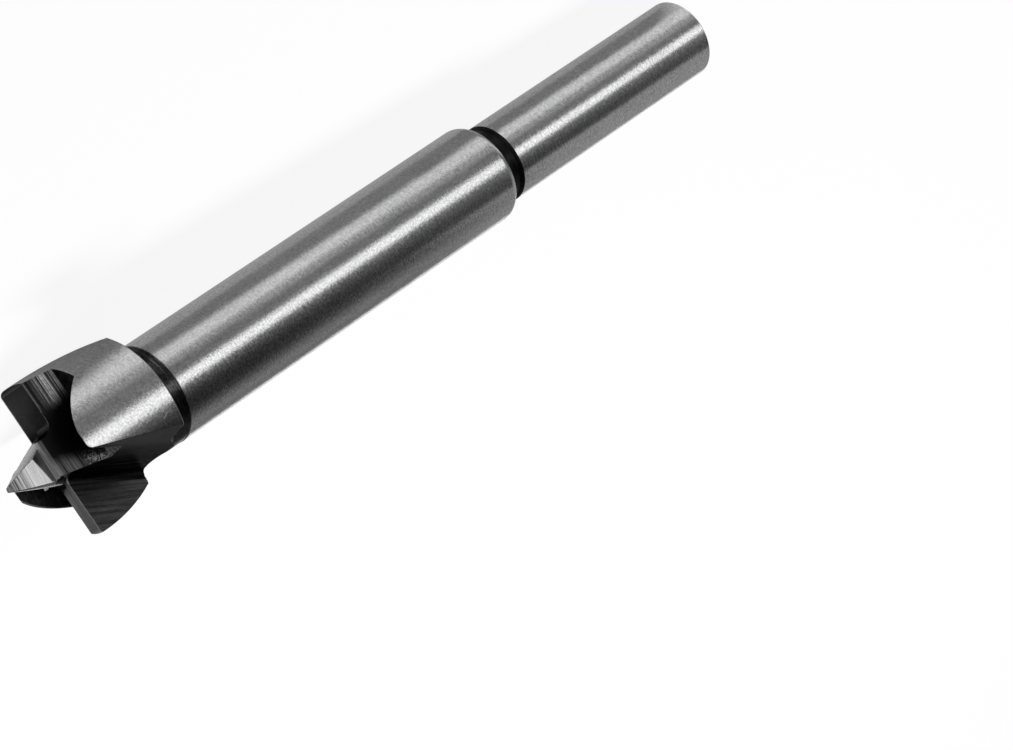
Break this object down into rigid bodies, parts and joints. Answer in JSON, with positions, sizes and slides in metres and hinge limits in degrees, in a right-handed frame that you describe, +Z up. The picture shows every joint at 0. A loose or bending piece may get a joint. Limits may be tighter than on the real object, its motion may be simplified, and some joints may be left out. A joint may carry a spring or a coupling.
{
  "type": "forstner bit",
  "caption": "Forstner bit for flat-bottomed holes in wood: pointed centre, lips with gullets and scoring rims on a cylindrical head, ground body and plain round shank.",
  "frame": {"origin": "on the floor under the middle of the lying bit: the bottom centre of its bounding box", "axes": "+X along the bit towards the tip, +Z up; the axis rises towards the tip because the bit lies on its head and on the shank's end"},
  "size_m": [0.0918, 0.015, 0.0134],
  "materials": {
    "steel": "ground satin"
  },
  "bodies": {
    "root": {"bit": "steel"}
  },
  "joints": []
}
